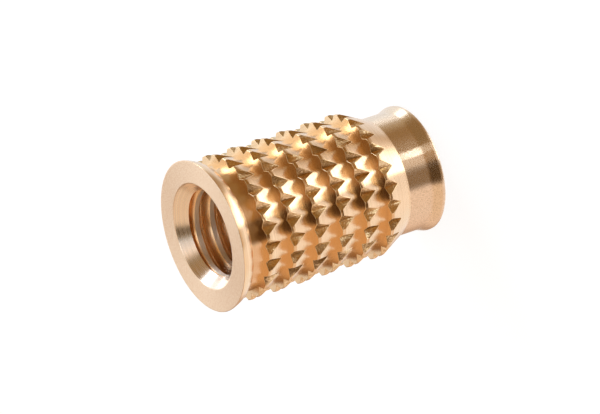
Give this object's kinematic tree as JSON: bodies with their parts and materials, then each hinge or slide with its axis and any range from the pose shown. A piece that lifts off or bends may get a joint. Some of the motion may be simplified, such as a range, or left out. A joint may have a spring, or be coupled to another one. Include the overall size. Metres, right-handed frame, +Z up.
{
  "type": "threaded insert",
  "caption": "Press-in brass threaded insert: flanged sleeve with an internally threaded bore, notched barbed rings outside and a plain pilot at the far end.",
  "frame": {"origin": "centre of the pilot end, where the insert stands", "axes": "+Z up the axis of the thread, from the pilot end to the flange face and out of the threaded mouth; X and Y across, one notch centred on +X"},
  "size_m": [0.0088, 0.0086, 0.0137],
  "materials": {
    "turned_brass": "bright turned brass, fine turning lines on the flange face, matte notch cuts and a satin pilot"
  },
  "bodies": {
    "root": {"insert_body": "turned_brass"}
  },
  "joints": []
}
